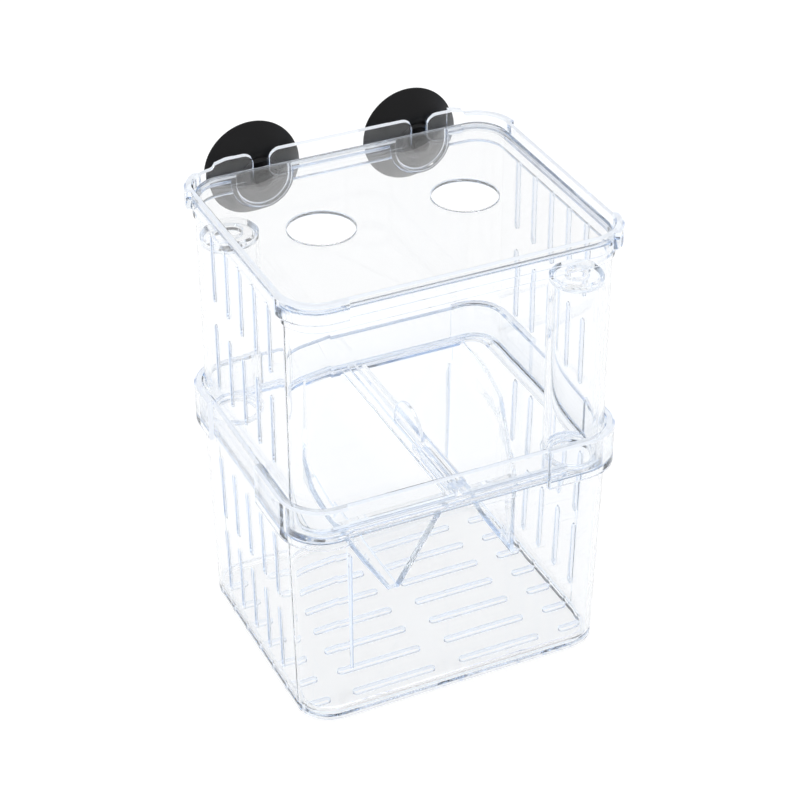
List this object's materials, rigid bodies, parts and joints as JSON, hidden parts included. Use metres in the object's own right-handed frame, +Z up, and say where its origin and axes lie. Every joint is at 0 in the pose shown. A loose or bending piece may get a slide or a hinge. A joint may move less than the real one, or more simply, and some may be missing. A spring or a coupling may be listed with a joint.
{
  "type": "fish breeding box",
  "caption": "Clear hang-on fish breeding box with a lower fry chamber, a nested upper chamber over V troughs, a lid with feeding holes and rubber suction cups.",
  "frame": {"origin": "middle of the lower box's underside", "axes": "+Z up, +Y towards the suction cups and the tank's glass, +X to the right as seen from the front"},
  "size_m": [0.1342, 0.1192, 0.1939],
  "materials": {
    "clear_box": "clear, polished, with cool blue edges",
    "clear_lid": "clear, polished",
    "clear_insert": "clear, polished",
    "black_rubber": "smooth, slightly satin"
  },
  "bodies": {
    "lower_box": {"lower_box": "clear_box"},
    "upper_box": {"upper_box": "clear_box", "riser_tube_rear": "clear_insert", "riser_tube_front": "clear_insert"},
    "lid": {"lid": "clear_lid"},
    "troughs": {"trough_left": "clear_insert", "trough_right": "clear_insert"},
    "ridge_bar": {"ridge_bar": "clear_insert"},
    "cup_left": {"suction_cup_left": "black_rubber"},
    "cup_right": {"suction_cup_right": "black_rubber"}
  },
  "joints": [
    {"name": "upper_box_lift", "type": "slide", "parent": "lower_box", "child": "upper_box", "axis": [0, 0, 1], "range_m": [0, 0.06]},
    {"name": "lid_lift", "type": "slide", "parent": "upper_box", "child": "lid", "axis": [0, 0, 1], "range_m": [0, 0.03]},
    {"name": "troughs_lift", "type": "slide", "parent": "upper_box", "child": "troughs", "axis": [0, 0, 1], "range_m": [0, 0.06]},
    {"name": "ridge_bar_lift", "type": "slide", "parent": "troughs", "child": "ridge_bar", "axis": [0, 0, 1], "range_m": [0, 0.025]},
    {"name": "cup_left_turn", "type": "hinge", "parent": "upper_box", "child": "cup_left", "pos_m": [-0.0323, 0.053, 0.1749], "axis": [0, 1, 0], "continuous": true},
    {"name": "cup_right_turn", "type": "hinge", "parent": "upper_box", "child": "cup_right", "pos_m": [0.0323, 0.053, 0.1749], "axis": [0, 1, 0], "continuous": true}
  ]
}
